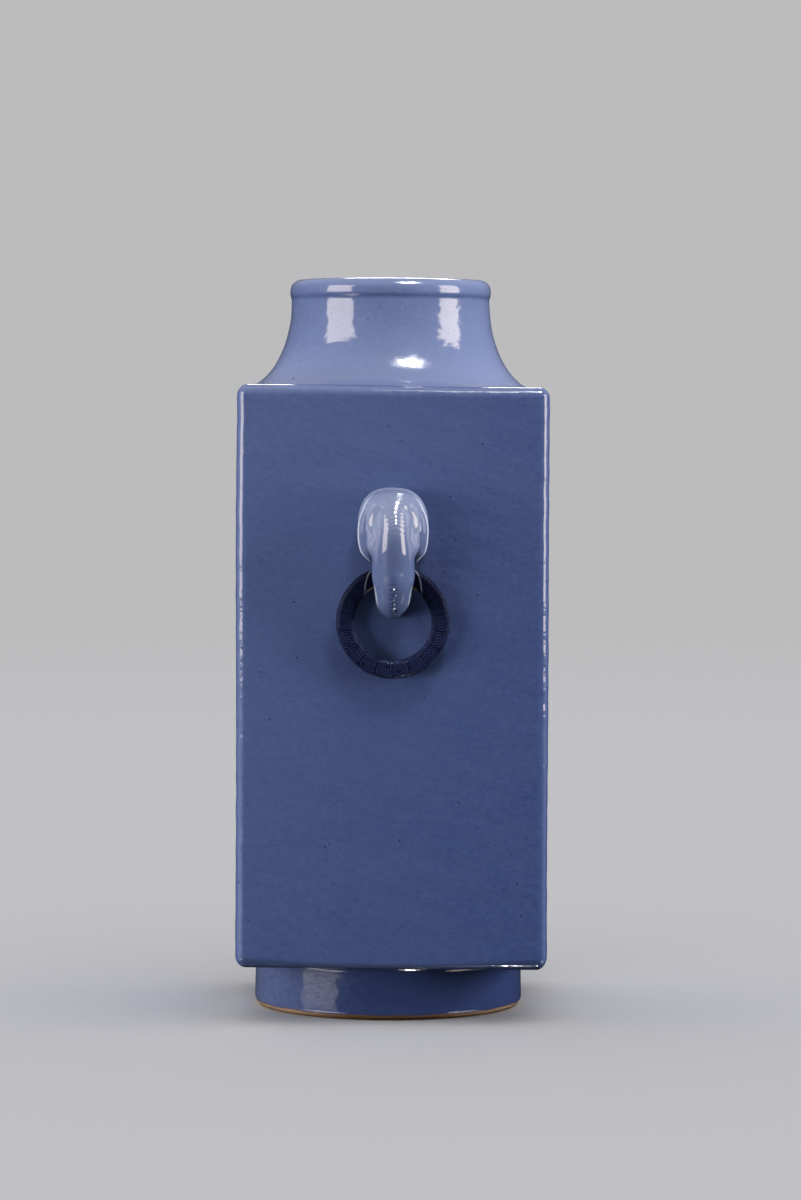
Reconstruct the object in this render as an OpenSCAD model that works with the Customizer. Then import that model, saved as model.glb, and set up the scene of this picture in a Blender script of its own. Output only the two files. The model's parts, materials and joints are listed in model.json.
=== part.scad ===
// Cong vase in porcelain: a square slab-built body between a round foot and a flared neck.
// An elephant-head handle is luted on the front and the back, and a loose ring hangs in each
// trunk's eye. The origin is on the table under the middle of the foot, and -Y is the front.

/* [Body] */
// Overall height, from the table to the top of the lip
vase_h = 290; // [270:1:340]
// Width of each side of the square body
body_w = 122; // [112:1:150]
// Height of the body's underside above the table
foot_h = 21; // [12:0.5:30]
// Height of the lip's top above the shoulder
neck_h = 42.5; // [36:0.5:56]
// Thickness of the clay slabs
slab_t = 6.5; // [5.5:0.1:9]
// Rounding of the body's outer edges
edge_r = 4.2; // [2:0.1:5]
// Width and height of the coils pressed into the inside seams
coil_size = 6; // [4:0.5:9]
// Thickness of a coil's thin edges
coil_edge = 0.4; // [0.3:0.1:1]

/* [Neck] */
// Outer diameter of the neck where it is narrowest
neck_d = 79.4; // [70:0.2:88]
// Thickness of the neck's wall where it is narrowest
neck_wall = 6.2; // [4.5:0.1:7.5]
// Width of the neck's seat on the shoulder
neck_seat_w = 11.3; // [8:0.1:14]
// Flat left between the neck's seat and the shoulder's rounded edge
shoulder_flat = 1; // [0.4:0.1:4]
// Radius of the rolled lip
lip_r = 4.2; // [3.8:0.1:5]
// How far the lip stands out past the neck
lip_out = 0.6; // [0.2:0.1:1.2]
// How much of its quarter ellipse the flare follows
flare_share = 0.97; // [0.9:0.01:0.99]

/* [Foot] */
// How far the foot stands in from the body's sides
foot_inset = 7.2; // [4:0.1:16]
// Thickness of the foot's wall
foot_wall = 8; // [6.5:0.5:12]
// Rounding of the foot's outer lower edge
foot_round = 3.2; // [1:0.1:4]
// Bevel on the foot's inner lower edge
foot_bevel = 1.5; // [0.5:0.1:2]

/* [Rings] */
// Outer diameter of a ring
ring_d = 44; // [40:0.5:52]
// Width of a ring's band, measured along its radius
band_w = 7.2; // [5.6:0.1:8]
// Thickness of a ring from front to back
band_t = 5; // [4.4:0.1:6]
// Rounding of a band's edges
band_round = 2; // [1.5:0.1:2.1]

/* [Elephant heads] */
// How far a ring's pivot lies below the shoulder
pivot_drop = 72.7; // [60:0.1:120]
// Room round the ring in the trunk's eye
eye_gap = 0.32; // [0.25:0.01:0.6]
// Least room between the wall and a ring at any angle
wall_gap = 0.42; // [0.3:0.01:1.5]
// Depth to which the eye's round bore cuts the trunk's curl
eye_cut = 0.25; // [0.1:0.01:0.3]
// Height of the crown above the pivot
crown_h = 33.1; // [28:0.1:38]
// How far the trunk's front stands from the wall at the pivot's height
trunk_reach = 21.6; // [18:0.1:26]
// How far the trunk's underside lies below the pivot
trunk_drop = 17.4; // [14:0.1:20]
// Width of the skull at the wall
skull_w = 21.6; // [20.8:0.1:24]
// Width of the trunk at the pivot's height
trunk_w = 16.8; // [13:0.1:19]
// Width of the trunk's end at the wall
tip_w = 12.6; // [9:0.1:16]
// Fullness of the head's outer half: 2 is an oval, and more is squarer
head_fullness = 2.4; // [2:0.1:3]

/* [Ears] */
// Width across a pair of ears
ears_w = 27.8; // [27:0.1:28.4]
// Height of the oval that the ears' outer edges follow
ears_oval_h = 36.6; // [32:0.1:40]
// Height of that oval's middle above the pivot
ears_mid_h = 16; // [14:0.1:19]
// Thickness of an ear
ear_t = 3.8; // [3.6:0.1:5]
// Length of an ear from its front edge to its back edge
ear_l = 12; // [8:0.1:14]
// Distance of an ear's middle from the wall
ear_out = 7.6; // [7.2:0.1:10]
// Thickness of an ear's ends as a share of its full thickness
ear_end = 0.25; // [0.15:0.01:0.5]

/* [Hidden] */
$fn = 96;

// Faces round a moulded piece, its steps along its length, and steps along the neck's flare
head_sides = 28;
turn_step = 6;
ear_sides = 14;
ear_steps = 12;
flare_steps = 24;

// Where an ear starts and ends on its oval, in degrees above its middle
ear_top_turn = 50;
ear_low_turn = -38;

// Heights of the shoulder, of the walls' ends and of the lip's bead
shoulder_z = vase_h - neck_h;
floor_z = foot_h + slab_t;
ceiling_z = shoulder_z - slab_t;
lip_z = vase_h - lip_r;
wall_h = ceiling_z - floor_z;

// Distance of the walls' inner faces from the middle
inside = body_w / 2 - slab_t;

// Radii of the neck, of its seat and of the foot
neck_r = neck_d / 2;
seat_r = body_w / 2 - edge_r - shoulder_flat;
throat_r = seat_r - neck_seat_w;
foot_r = body_w / 2 - foot_inset;

// The band's middle circle, its farthest corner from its own middle, and the eye that clears it
ring_mid_r = (ring_d - band_w) / 2;
band_reach = norm([band_w / 2 - band_round, band_t / 2 - band_round]) + band_round;
eye_r = band_reach + eye_gap;
pivot_out = band_reach + wall_gap;
pivot_z = shoulder_z - pivot_drop;

glaze_blue = [0.42, 0.52, 0.74];
pale_blue = [0.55, 0.64, 0.82];
cobalt = [0.07, 0.08, 0.2];
inside_blue = [0.6, 0.68, 0.82];

// Value at share u of the way from a to b
function mix(a, b, u) = a + (b - a) * u;

// Eased share, level at both ends
function eased(u) = u * u * (3 - 2 * u);

// Rise of a quarter circle of radius 1 at share t of its width
function quarter_rise(t) = 1 - sqrt(1 - t * t);

// Solid skin through rings of points that all have as many points as the first
module skin(rings) {
    sides = len(rings[0]);
    last = len(rings) - 1;
    points = [for (ring = rings) each ring];
    sheet = [for (i = [0 : last - 1], j = [0 : sides - 1])
        let (k = (j + 1) % sides, low = i * sides, high = low + sides)
        each [[low + j, high + j, high + k], [low + j, high + k, low + k]]];
    start_cap = [for (j = [1 : sides - 2]) [0, j, j + 1]];
    end_cap = [for (j = [1 : sides - 2]) [0, j + 1, j] + last * sides * [1, 1, 1]];
    polyhedron(points = points, faces = concat(sheet, start_cap, end_cap));
}

// Strip of width w from y = 0 to y = t, with its two far corners rounded
module edged_strip(w, t, r) {
    translate([-w / 2, 0]) square([w, t - r]);
    translate([r - w / 2, 0]) square([w - 2 * r, t]);
    for (side = [-1, 1]) translate([side * (w / 2 - r), t - r]) intersection() {
        circle(r);
        translate([-r, 0]) square([2 * r, r]);
    }
}

// Square plate from z = 0 to the slab's thickness, with its upper and upright edges rounded
module edged_slab() {
    intersection() {
        linear_extrude(slab_t) intersection() {
            translate([0, -body_w / 2]) edged_strip(body_w, body_w, edge_r);
            rotate(180) translate([0, -body_w / 2]) edged_strip(body_w, body_w, edge_r);
        }
        rotate([90, 0, 0]) linear_extrude(body_w, center = true) edged_strip(body_w, slab_t, edge_r);
        rotate([90, 0, 90]) linear_extrude(body_w, center = true) edged_strip(body_w, slab_t, edge_r);
    }
}

// Slab that spans the body's whole width and carries its upright rounded edges
module lapping_wall() {
    color(glaze_blue) translate([0, -inside, floor_z])
        linear_extrude(wall_h) mirror([0, 1]) edged_strip(body_w, slab_t, edge_r);
}

// Slab held between the lapping walls
module side_wall() {
    color(glaze_blue) translate([inside, -inside, floor_z]) cube([slab_t, 2 * inside, wall_h]);
}

module front_wall() {
    lapping_wall();
}

module back_wall() {
    rotate(180) lapping_wall();
}

module right_wall() {
    side_wall();
}

module left_wall() {
    rotate(180) side_wall();
}

module shoulder_slab() {
    color(glaze_blue) translate([0, 0, ceiling_z]) difference() {
        edged_slab();
        translate([0, 0, -slab_t]) cylinder(h = 3 * slab_t, r = throat_r);
    }
}

module floor_slab() {
    color(glaze_blue) translate([0, 0, floor_z]) mirror([0, 0, 1]) edged_slab();
}

// Radius of the flare at height z, from foot_radius on the shoulder to top_radius at the neck
function flare_r(z, foot_radius, top_radius) =
    let (down = (lip_z - lip_r - z) / (lip_z - lip_r - shoulder_z))
    mix(top_radius, foot_radius, quarter_rise(flare_share * down) / quarter_rise(flare_share));

// Points of one side of the neck, from the shoulder up to the lip's middle
function neck_side(foot_radius, top_radius) = concat(
    [for (i = [0 : flare_steps])
        let (z = mix(shoulder_z, lip_z - lip_r, i / flare_steps))
        [flare_r(z, foot_radius, top_radius), z]],
    [[top_radius, lip_z]]);

module neck() {
    outer = neck_side(seat_r, neck_r);
    inner = neck_side(throat_r, neck_r - neck_wall);
    color(glaze_blue) rotate_extrude() {
        polygon(concat(outer, [for (i = [len(inner) - 1 : -1 : 0]) inner[i]]));
        translate([neck_r + lip_out - lip_r, lip_z]) circle(lip_r);
    }
}

module foot_ring() {
    foot_bore_r = foot_r - foot_wall;
    color(pale_blue) rotate_extrude() difference() {
        union() {
            translate([foot_bore_r, 0]) square([foot_wall - foot_round, foot_h]);
            translate([foot_bore_r, foot_round]) square([foot_wall, foot_h - foot_round]);
            translate([foot_r - foot_round, foot_round]) circle(foot_round);
        }
        translate([foot_bore_r, 0]) polygon([[0, 0], [foot_bevel, 0], [0, foot_bevel]]);
    }
}

// Section of a coil in a corner whose sides run along +x and +y
module coil_section() {
    difference() {
        square(coil_size);
        translate([coil_size, coil_size]) circle(coil_size - coil_edge);
    }
}

// Coil in an upright inside corner, counted by quarter turns from the front left
module corner_coil(quarter) {
    color(inside_blue) rotate(90 * quarter) translate([-inside, -inside, floor_z])
        linear_extrude(wall_h) coil_section();
}

// Coils between the corner coils along the four edges of the floor, rising from z = 0
module seam_coils() {
    color(inside_blue) for (quarter = [0 : 3])
        rotate(90 * quarter) translate([0, -inside, 0]) rotate([90, 0, 90])
            linear_extrude(2 * (inside - coil_size), center = true) coil_section();
}

module floor_seam_coils() {
    translate([0, 0, floor_z]) seam_coils();
}

module shoulder_seam_coils() {
    translate([0, 0, ceiling_z]) mirror([0, 0, 1]) seam_coils();
}

// Moves a handle's piece from the pivot's foot on the wall to the front or the back of the vase
module on_front() {
    translate([0, -body_w / 2, pivot_z]) children();
}

module on_back() {
    rotate(180) on_front() children();
}

// Reach of the head from the pivot at a turn in degrees: 90 is up, 0 outwards and -90 down
function head_reach(turn) =
    mix(trunk_reach - pivot_out, turn > 0 ? crown_h : trunk_drop, eased(abs(turn) / 90));

// Half the head's width at such a turn
function head_half_w(turn) = mix(trunk_w, turn > 0 ? skull_w : tip_w, eased(abs(turn) / 90)) / 2;

// Sine or cosine s of a section's angle, made fuller on the head's outer half
function fuller(s, outer) = sign(s) * pow(abs(s), outer ? 2 / head_fullness : 1);

// Section of the head at a turn about the pivot, moved back towards the wall
function head_ring(turn, back) =
    let (near = eye_r - eye_cut, far = head_reach(turn))
    [for (j = [0 : head_sides - 1])
        let (angle = 360 * j / head_sides,
             outer = cos(angle) > 0,
             r = mix(near, far, (1 + fuller(cos(angle), outer)) / 2))
        [head_half_w(turn) * fuller(sin(angle), outer),
         back - pivot_out - r * cos(turn),
         r * sin(turn)]];

// Skull and trunk, curled about the pivot from the wall out, down and back to the wall
module elephant_head() {
    rings = concat(
        [head_ring(90, pivot_out)],
        [for (turn = [90 : -turn_step : -90]) head_ring(turn, 0)],
        [head_ring(-90, pivot_out)]);
    color(pale_blue) difference() {
        skin(rings);
        translate([0, -pivot_out, 0]) rotate([0, 90, 0])
            cylinder(h = 2 * skull_w, r = eye_r, center = true);
    }
}

// Oval section of the right ear at share s of the way from its top to its lower end
function ear_ring(s) =
    let (turn = mix(ear_top_turn, ear_low_turn, s),
         size = mix(ear_end, 1, sqrt(1 - pow(2 * s - 1, 4))),
         across = (ears_w - ear_t) / 2,
         up = (ears_oval_h - ear_t) / 2)
    [for (j = [0 : ear_sides - 1])
        let (angle = 360 * j / ear_sides, swell = size * ear_t / 2 * cos(angle))
        [(across + swell) * cos(turn),
         -ear_out - size * ear_l / 2 * sin(angle),
         ears_mid_h + (up + swell) * sin(turn)]];

module right_ear() {
    color(pale_blue) skin([for (i = [0 : ear_steps]) ear_ring(i / ear_steps)]);
}

module left_ear() {
    mirror([1, 0, 0]) right_ear();
}

// Rounded section of a ring's band
module band_section() {
    square([band_w - 2 * band_round, band_t], center = true);
    square([band_w, band_t - 2 * band_round], center = true);
    for (x = [-1, 1], y = [-1, 1])
        translate([x * (band_w / 2 - band_round), y * (band_t / 2 - band_round)]) circle(band_round);
}

// Ring hanging from the pivot
module hanging_ring() {
    color(cobalt) translate([0, -pivot_out, -ring_mid_r]) rotate([90, 0, 0])
        rotate_extrude() translate([ring_mid_r, 0]) band_section();
}

front_wall();
back_wall();
left_wall();
right_wall();
shoulder_slab();
floor_slab();
neck();
foot_ring();
corner_coil(0);  // corner_coil_front_left
corner_coil(1);  // corner_coil_front_right
corner_coil(2);  // corner_coil_back_right
corner_coil(3);  // corner_coil_back_left
floor_seam_coils();
shoulder_seam_coils();
on_front() elephant_head();  // front_elephant_head
on_back() elephant_head();  // back_elephant_head
on_front() left_ear();  // front_left_ear
on_front() right_ear();  // front_right_ear
on_back() right_ear();  // back_left_ear
on_back() left_ear();  // back_right_ear
on_front() hanging_ring();  // front_ring
on_back() hanging_ring();  // back_ring
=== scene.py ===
"""Looks of a cong vase: glazed slabs, a thrown neck and foot, elephant-head handles and loose rings.

Shapes are surfaces worked out with numpy in millimetres, in the vase's own frame: +Z is up and -Y is the
front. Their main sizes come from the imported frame, and each surface is put into a mesh in metres.
"""

import json
import logging
import math
from dataclasses import dataclass, field
from enum import Enum

import bpy
import numpy as np
from mathutils import Matrix, Vector


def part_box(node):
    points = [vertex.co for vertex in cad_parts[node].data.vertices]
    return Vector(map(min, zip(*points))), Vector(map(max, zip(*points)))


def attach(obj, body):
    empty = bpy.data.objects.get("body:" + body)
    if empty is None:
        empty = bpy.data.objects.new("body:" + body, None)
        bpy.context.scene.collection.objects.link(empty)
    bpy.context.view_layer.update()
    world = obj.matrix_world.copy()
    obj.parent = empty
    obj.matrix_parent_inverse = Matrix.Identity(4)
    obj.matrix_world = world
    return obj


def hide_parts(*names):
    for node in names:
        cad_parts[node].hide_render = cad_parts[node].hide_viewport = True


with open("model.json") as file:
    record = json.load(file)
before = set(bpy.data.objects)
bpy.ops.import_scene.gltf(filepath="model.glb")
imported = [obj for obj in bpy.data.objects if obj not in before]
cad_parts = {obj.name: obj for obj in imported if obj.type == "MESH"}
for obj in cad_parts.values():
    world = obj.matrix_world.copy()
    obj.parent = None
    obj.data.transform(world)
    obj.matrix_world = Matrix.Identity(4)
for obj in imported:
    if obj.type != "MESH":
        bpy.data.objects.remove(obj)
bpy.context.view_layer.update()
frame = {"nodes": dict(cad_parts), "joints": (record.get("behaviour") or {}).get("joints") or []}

Array = np.ndarray
Colour = tuple[float, float, float]
Span = tuple[float, float]
Socket = bpy.types.NodeSocket

MM = 0.001
FIXED_BODY = "vase"
SHARP_ANGLE = math.radians(38)
BUMP_HEIGHT = 0.1 * MM
THROAT_R = 44.5
OVAL = 2.0
EVEN = (1.0, 1.0, 1.0)
LEVEL = (1.0, 1.0, 1.6)
QUARTERS = (0.0, 90.0, 180.0, 270.0)

log = logging.getLogger("cong_vase")


class Ends(Enum):
    """How the first and the last ring of a tube are closed."""

    JOINED = "the last ring meets the first"
    FLAT = "each end has one flat face"
    POLES = "each end ring is drawn into one point"


class Lit(Enum):
    """What a studio light reaches, as the name of a collection."""

    ALL = "everything"
    PIECES = "vase_pieces"
    VESSEL = "vessel_pieces"


class Side(Enum):
    """Face of the vase that carries a handle, with its turn about the upright axis in degrees."""

    FRONT = 0
    BACK = 180


def mix(a: Array, b: Array, share: Array) -> Array:
    """Value at a share of the way from a to b."""
    return a + (b - a) * share


def eased(share: Array) -> Array:
    """Share from 0 to 1 that is level at both ends, and is held there beyond them."""
    held = np.clip(share, 0.0, 1.0)
    return held * held * (3.0 - 2.0 * held)


def bell(offset: Array, width: Array) -> Array:
    """Bell curve of height 1 that falls to 0.37 at the width."""
    return np.exp(-((offset / width) ** 2))


def rising(value: Array, start: float, end: float) -> Array:
    """Smooth step from 0 at the start to 1 at the end, which may be the lower of the two."""
    return eased((value - start) / (end - start))


def hump(value: Array, middle: float, width: float) -> Array:
    """Bell curve about a middle."""
    return bell(value - middle, width)


def power(wave: Array, fullness: Array) -> Array:
    """Sine or cosine made fuller for a rounded-square section: 2 keeps the oval, and more is squarer."""
    return np.sign(wave) * np.abs(wave) ** (OVAL / fullness)


def circle(steps: int) -> Array:
    """Even angles once round, in radians."""
    return np.linspace(0.0, 2.0 * np.pi, steps, endpoint=False)


def turned(points: Array, degrees: float) -> Array:
    """Points turned about the upright axis.

    Args:
        points: Array whose last axis holds x and y, and z if it has three entries.
        degrees: Turn, counted anticlockwise from above.

    Returns:
        A new array of the same shape.
    """
    c, s = math.cos(math.radians(degrees)), math.sin(math.radians(degrees))
    moved = points.copy()
    moved[..., 0] = c * points[..., 0] - s * points[..., 1]
    moved[..., 1] = s * points[..., 0] + c * points[..., 1]
    return moved


def softened(profile: Array, step: float, radius: float) -> Array:
    """Closed outline walked in even steps, with its corners rounded as glaze rounds them.

    Each point becomes the mean of its neighbours, weighted by a bell curve of the distance walked.

    Args:
        profile: Corner points of the closed outline, one row each.
        step: Distance between the new points.
        radius: Width of the bell curve.

    Returns:
        The new points, one row each.
    """
    loop = np.vstack([profile, profile[:1]])
    walked = np.concatenate([[0.0], np.cumsum(np.linalg.norm(np.diff(loop, axis=0), axis=1))])
    count = int(round(walked[-1] / step))
    stations = np.linspace(0.0, walked[-1], count, endpoint=False)
    even = np.stack([np.interp(stations, walked, loop[:, k]) for k in range(loop.shape[1])], axis=1)
    gap = np.minimum(stations, walked[-1] - stations)
    weight = bell(gap, radius)
    spectrum = np.fft.rfft(weight / weight.sum())[:, None]
    return np.fft.irfft(np.fft.rfft(even, axis=0) * spectrum, n=count, axis=0)


def ring_quads(rows: int, cols: int, joined: bool) -> Array:
    """Corner numbers of the quads between rings of points, numbered row by row.

    Args:
        rows: Count of rings.
        cols: Count of points on each ring, which closes on itself.
        joined: Whether the last ring also meets the first.

    Returns:
        One row of four corner numbers for each quad.
    """
    i = np.arange(rows if joined else rows - 1)[:, None]
    j = np.arange(cols)[None, :]
    near, far, after = i * cols, ((i + 1) % rows) * cols, (j + 1) % cols
    return np.stack([near + j, near + after, far + after, far + j], axis=-1).reshape(-1, 4)


def signed_volume(points: Array, faces: list[Array]) -> float:
    """Volume inside closed faces, which is negative where they point inwards."""
    total = 0.0
    for face in faces:
        start = points[face[:, 0]]
        for k in range(1, face.shape[1] - 1):
            total += np.einsum("ij,ij->", start, np.cross(points[face[:, k]], points[face[:, k + 1]]))
    return total / 6.0


def tube_mesh(name: str, rings: Array, ends: Ends, marks: dict[str, Array]) -> bpy.types.Mesh:
    """Closed mesh through rings of points.

    Args:
        name: Name of the mesh.
        rings: Points in millimetres, with axes for the ring, the point on it, and x, y and z.
        ends: How the first and the last ring are closed.
        marks: Named values for the materials, each with one value for every point.

    Returns:
        The mesh in metres, smooth apart from its sharp corners, with its faces turned outwards.
    """
    rows, cols = rings.shape[:2]
    points = rings.reshape(-1, 3)
    values = {key: np.broadcast_to(mark, (rows, cols)).reshape(-1) for key, mark in marks.items()}
    if ends is Ends.POLES:
        keep = slice(cols - 1, (rows - 1) * cols + 1)
        points = points[keep]
        values = {key: mark[keep] for key, mark in values.items()}
        here = np.arange(cols)
        after = (here + 1) % cols
        last = (rows - 3) * cols + 1
        start_fan = np.stack([np.zeros_like(here), 1 + after, 1 + here], axis=1)
        end_fan = np.stack([np.full_like(here, len(points) - 1), last + here, last + after], axis=1)
        faces = [ring_quads(rows - 2, cols, False) + 1, start_fan, end_fan]
    else:
        faces = [ring_quads(rows, cols, ends is Ends.JOINED)]
        if ends is Ends.FLAT:
            rim = np.arange(cols)
            faces += [rim[None, ::-1], (rows - 1) * cols + rim[None, :]]
    if signed_volume(points, faces) < 0.0:
        faces = [face[:, ::-1] for face in faces]
    return filled_mesh(name, points * MM, faces, values)


def filled_mesh(name: str, points: Array, faces: list[Array], values: dict[str, Array]) -> bpy.types.Mesh:
    """Mesh from arrays of points, of faces and of named values at the points.

    Args:
        name: Name of the mesh.
        points: One row of x, y and z in metres for each point.
        faces: Arrays of corner numbers, one for each count of corners.
        values: Named values, each with one entry for every point.

    Returns:
        The finished mesh.
    """
    corners = np.concatenate([face.ravel() for face in faces]).astype(np.int32)
    sizes = np.concatenate([np.full(len(face), face.shape[1]) for face in faces])
    starts = np.concatenate([[0], np.cumsum(sizes)[:-1]]).astype(np.int32)
    mesh = bpy.data.meshes.new(name)
    mesh.vertices.add(len(points))
    mesh.loops.add(len(corners))
    mesh.polygons.add(len(sizes))
    mesh.vertices.foreach_set("co", points.astype(np.float32).ravel())
    mesh.loops.foreach_set("vertex_index", corners)
    mesh.polygons.foreach_set("loop_start", starts)
    mesh.polygons.foreach_set("use_smooth", np.ones(len(sizes), dtype=bool))
    mesh.update(calc_edges=True)
    mesh.set_sharp_from_angle(angle=SHARP_ANGLE)
    for key, value in values.items():
        mark = mesh.attributes.new(key, "FLOAT", "POINT")
        mark.data.foreach_set("value", value.astype(np.float32))
    return mesh


def pieces(lit: Lit) -> bpy.types.Collection:
    """Collection of the pieces that some lights reach alone."""
    return bpy.data.collections.get(lit.value) or bpy.data.collections.new(lit.value)


def link(added: bpy.types.Object) -> None:
    """Puts an object into the scene."""
    bpy.context.scene.collection.objects.link(added)


def place(mesh: bpy.types.Mesh, finish: "Finish", body: str, node: str) -> None:
    """Puts a mesh into the scene in the place of a node.

    Args:
        mesh: Mesh whose points are already where they belong.
        finish: Finish that dresses it.
        body: Name of the body that it moves with.
        node: Name of the node that it stands for.
    """
    piece = bpy.data.objects.new(mesh.name, mesh)
    link(piece)
    pieces(Lit.PIECES).objects.link(piece)
    if finish in (BODY_GLAZE, SHADED_FOOT_GLAZE):
        pieces(Lit.VESSEL).objects.link(piece)
    mesh.materials.append(finish.material())
    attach(piece, body)
    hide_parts(node)
    log.info("%s stands for %s: %d points", piece.name, node, len(mesh.vertices))


def node_box(node: str) -> tuple[Array, Array]:
    """Lowest and highest corner of a node in millimetres."""
    low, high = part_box(node)
    return np.array(low) / MM, np.array(high) / MM


@dataclass(frozen=True)
class Grain:
    """Smooth noise over an object: waves to a metre, finer layers, how rough they are, and its stretch."""

    waves: float
    layers: float
    rough: float = 0.5
    stretch: tuple[float, float, float] = EVEN


STREAKS = Grain(330.0, 4.0, 0.75, LEVEL)
CLOUDS = Grain(42.0, 4.0, 0.6, LEVEL)
DIMPLES = Grain(620.0, 2.0, stretch=(1.0, 1.0, 1.25))
SWELLS = Grain(120.0, 2.0, stretch=(1.5, 1.5, 2.2))
SMOKE = Grain(520.0, 3.0)
WAVER = Grain(90.0, 3.0)
CLAY_GRAIN = Grain(1400.0, 3.0)
MOTTLE = Grain(420.0, 4.0)

MEAN_THIN = 0.22
TORN = (0.4, 0.75)


class NodeBench:
    """Adds nodes to one node tree and links them."""

    def __init__(self, tree: bpy.types.NodeTree) -> None:
        """Keeps the tree that is worked on."""
        self.tree = tree

    @classmethod
    def cleared(cls, owner: bpy.types.ID) -> "NodeBench":
        """Bench on the emptied node tree of a material or of a world."""
        owner.use_nodes = True
        owner.node_tree.nodes.clear()
        return cls(owner.node_tree)

    def add(self, kind: str, settings: dict | None = None, **sockets: object) -> bpy.types.Node:
        """Adds one node.

        Args:
            kind: Node type without its "ShaderNode" start.
            settings: The node's own settings by name.
            **sockets: Values or other nodes' outputs for its inputs, as fill takes them.

        Returns:
            The new node.
        """
        made = self.tree.nodes.new("ShaderNode" + kind)
        for key, value in (settings or {}).items():
            setattr(made, key, value)
        self.fill(made.inputs, **sockets)
        return made

    def fill(self, inputs: bpy.types.NodeInputs, **sockets: object) -> None:
        """Feeds inputs by their names, in which an underscore stands for a space."""
        for key, value in sockets.items():
            self.feed(inputs[key.replace("_", " ")], value)

    def feed(self, socket: Socket, value: object) -> None:
        """Links an output to a socket, or sets the socket to a plain value."""
        if isinstance(value, bpy.types.NodeSocket):
            self.tree.links.new(value, socket)
        elif isinstance(value, tuple) and len(value) == 3 and socket.type == "RGBA":
            socket.default_value = (*value, 1.0)
        else:
            socket.default_value = value

    def math(self, operation: str, *values: object) -> Socket:
        """Output of a Math node."""
        made = self.add("Math", {"operation": operation})
        for socket, value in zip(made.inputs, values):
            self.feed(socket, value)
        return made.outputs[0]

    def times(self, a: object, b: object) -> Socket:
        """Product of two values."""
        return self.math("MULTIPLY", a, b)

    def ramp(self, value: object, low: float, high: float) -> Socket:
        """Smooth step from 0 at low to 1 at high, or the other way round where low is the greater."""
        reverse = low > high
        made = self.add("MapRange", {"interpolation_type": "SMOOTHSTEP"}, Value=value,
                        From_Min=min(low, high), From_Max=max(low, high),
                        To_Min=float(reverse), To_Max=float(not reverse))
        return made.outputs["Result"]

    def blend(self, share: object, a: object, b: object) -> Socket:
        """Colour at a share of the way from a to b, which is held between them."""
        made = self.add("Mix", {"data_type": "RGBA", "clamp_factor": True})
        self.feed(made.inputs[0], share)
        self.feed(made.inputs[6], a)
        self.feed(made.inputs[7], b)
        return made.outputs[2]

    def mark(self, name: str) -> Socket:
        """Value that the mesh carries at its points under a name, or 0 where it carries none."""
        return self.add("Attribute", {"attribute_name": name}).outputs["Fac"]

    def here(self, stretch: tuple[float, float, float] = EVEN) -> Socket:
        """Object coordinates, scaled along each axis."""
        own = self.add("TexCoord").outputs["Object"]
        return self.add("Mapping", Vector=own, Scale=stretch).outputs["Vector"]

    def noise(self, grain: Grain) -> Socket:
        """Noise from 0 to 1 over the object."""
        made = self.add("TexNoise", Vector=self.here(grain.stretch), Scale=grain.waves, Detail=grain.layers,
                        Roughness=grain.rough)
        return made.outputs["Fac"]

    def shared(self, effect: "Effect", **sockets: object) -> bpy.types.NodeOutputs:
        """Outputs of a shared effect, with values for its inputs."""
        return self.add("Group", {"node_tree": effect.group()}, **sockets).outputs


@dataclass(frozen=True)
class Dots:
    """Round dots at sparse random points of a glaze: cells to a metre, and sizes in shares of a cell."""

    cells: float
    radius: float
    soft: float
    share: float
    strength: float
    colour: Colour
    torn: Grain | None = None
    varies: float = 0.6

    def mask(self, bench: NodeBench, share: Socket) -> Socket:
        """Mask of the dots, of which a share shows, with sizes that vary and soft edges."""
        cells = bench.add("TexVoronoi", Vector=bench.here(), Scale=self.cells).outputs
        dice = bench.add("SeparateColor", Color=cells["Color"]).outputs
        chosen = bench.math("LESS_THAN", dice["Red"], share)
        least = (1.0 - self.varies) * self.radius
        varied = bench.math("MULTIPLY_ADD", dice["Green"], self.varies * self.radius, least)
        beyond = bench.math("SUBTRACT", cells["Distance"], bench.times(chosen, varied))
        mask = bench.ramp(beyond, 0.0, -self.soft * self.radius)
        return bench.times(mask, bench.ramp(bench.noise(self.torn), *TORN)) if self.torn else mask


DOTS = {
    "Stains": Dots(23.0, 0.07, soft=0.9, share=0.3, strength=0.5, colour=(0.085, 0.08, 0.06), torn=SMOKE),
    "Dust": Dots(290.0, 0.26, soft=0.8, share=0.6, strength=0.5, colour=(0.014, 0.022, 0.07)),
    "Specks": Dots(125.0, 0.1, soft=0.4, share=0.25, strength=0.85, colour=(0.008, 0.01, 0.03)),
    "Pinholes": Dots(330.0, 0.06, soft=0.4, share=0.25, strength=0.3, colour=(0.4, 0.44, 0.5)),
}


def new_group(name: str, inputs: dict[str, object],
              outputs: dict[str, str]) -> tuple[NodeBench, bpy.types.NodeOutputs, bpy.types.NodeInputs]:
    """Empty shader node group with named sockets.

    Args:
        name: Name of the group.
        inputs: Default value of each input: a number, or a colour of three.
        outputs: Socket type of each output.

    Returns:
        The bench for the group's nodes, the sockets that bring values in, and those that take them out.
    """
    tree = bpy.data.node_groups.new(name, "ShaderNodeTree")
    for key, value in inputs.items():
        kind = "NodeSocketColor" if isinstance(value, tuple) else "NodeSocketFloat"
        socket = tree.interface.new_socket(key, in_out="INPUT", socket_type=kind)
        socket.default_value = (*value, 1.0) if isinstance(value, tuple) else value
    for key, kind in outputs.items():
        tree.interface.new_socket(key, in_out="OUTPUT", socket_type=kind)
    start = tree.nodes.new("NodeGroupInput")
    end = tree.nodes.new("NodeGroupOutput")
    return NodeBench(tree), start.outputs, end.inputs


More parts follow.
